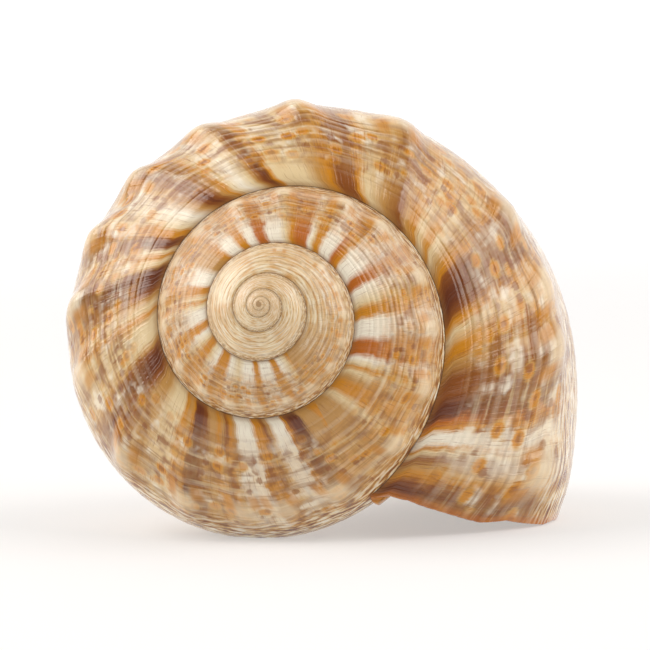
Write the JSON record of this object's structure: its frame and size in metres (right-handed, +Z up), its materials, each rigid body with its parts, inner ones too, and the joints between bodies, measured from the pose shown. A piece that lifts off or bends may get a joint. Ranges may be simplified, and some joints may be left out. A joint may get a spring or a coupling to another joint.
{
  "type": "knobbed whelk shell",
  "caption": "Empty spiral sea shell with a knobbed shoulder, a wide flared aperture and a short canal, lying on its aperture as a shelf or beach ornament.",
  "frame": {"origin": "centre of the bounding box on the ground, with the shell lying on its aperture", "axes": "+Z up, -Y towards the tip of the spire, +X towards the outer lip"},
  "size_m": [0.0852, 0.091, 0.0724],
  "materials": {
    "shell": "polished natural shell, cream with tan and brown flames"
  },
  "bodies": {
    "root": {"shell": "shell"}
  },
  "joints": []
}
